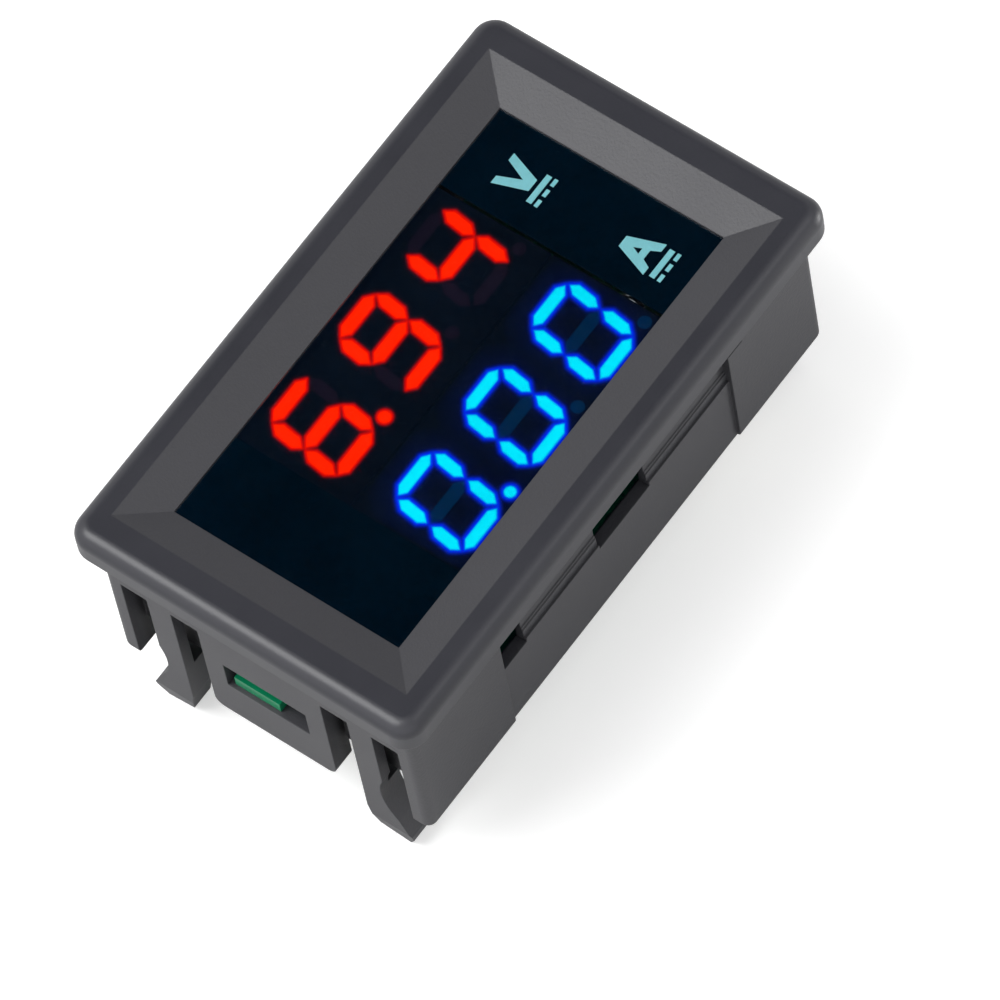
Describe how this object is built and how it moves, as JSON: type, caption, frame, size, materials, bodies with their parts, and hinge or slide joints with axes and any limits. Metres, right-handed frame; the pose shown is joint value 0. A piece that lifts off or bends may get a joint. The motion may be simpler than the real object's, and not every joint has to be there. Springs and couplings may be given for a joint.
{
  "type": "digital panel meter",
  "caption": "Snap-in panel meter: a bevelled charcoal bezel round a smoked window with a red and a cyan row of LED digits, four clip legs at the back and plug headers on the board behind.",
  "frame": {"origin": "middle of the base of the bounding box, level with the tips of the four clip legs, on which the meter lies face up", "axes": "+Z out of the display, +X along the digits in reading order, +Y up the digits"},
  "size_m": [0.048, 0.0286, 0.0223],
  "materials": {
    "charcoal_abs": "fine matte texture, polished rim",
    "smoked_acrylic": "dark transparent",
    "printed_film": "matt film",
    "display_case": "matt black",
    "lit_red": "glowing red epoxy",
    "lit_cyan": "glowing cyan epoxy",
    "dark_segment": "unlit epoxy",
    "tinned": "bright tin",
    "solder_mask_green": "green lacquer over glass fibre",
    "cream_nylon": "satin",
    "epoxy_black": "matt moulded epoxy",
    "tantalum_orange": "satin moulded epoxy",
    "ceramic_tan": "fired ceramic with tinned ends",
    "resistance_alloy": "drawn copper-nickel wire"
  },
  "bodies": {
    "meter": {"housing": "charcoal_abs", "front_window": "smoked_acrylic", "legend_strip": "printed_film", "voltage_display_body": "display_case", "voltage_display_lit_segments": "lit_red", "voltage_display_dark_segments": "dark_segment", "voltage_display_pins": "tinned", "current_display_body": "display_case", "current_display_lit_segments": "lit_cyan", "current_display_dark_segments": "dark_segment", "current_display_pins": "tinned", "circuit_board": "solder_mask_green", "supply_header": "cream_nylon", "supply_header_pins": "tinned", "load_header": "cream_nylon", "load_header_pins": "tinned", "current_shunt": "resistance_alloy", "voltage_trimmer_base": "cream_nylon", "voltage_trimmer_terminals": "tinned", "current_trimmer_base": "cream_nylon", "current_trimmer_terminals": "tinned", "controller_chip": "epoxy_black", "controller_leads": "tinned", "amplifier_chip": "epoxy_black", "amplifier_leads": "tinned", "regulator_chip": "epoxy_black", "regulator_leads": "tinned", "reverse_diode": "epoxy_black", "filter_capacitor": "tantalum_orange", "chip_capacitors": "ceramic_tan", "chip_resistors": "epoxy_black"},
    "voltage_trimmer": {"voltage_trimmer_rotor": "tinned"},
    "current_trimmer": {"current_trimmer_rotor": "tinned"}
  },
  "joints": [
    {"name": "voltage_trim", "type": "hinge", "parent": "meter", "child": "voltage_trimmer", "pos_m": [-0.0126, 0.0072, 0.00815], "axis": [0, 0, -1], "range_deg": [-130, 130]},
    {"name": "current_trim", "type": "hinge", "parent": "meter", "child": "current_trimmer", "pos_m": [0.0126, 0.0072, 0.00815], "axis": [0, 0, -1], "range_deg": [-130, 130]}
  ]
}
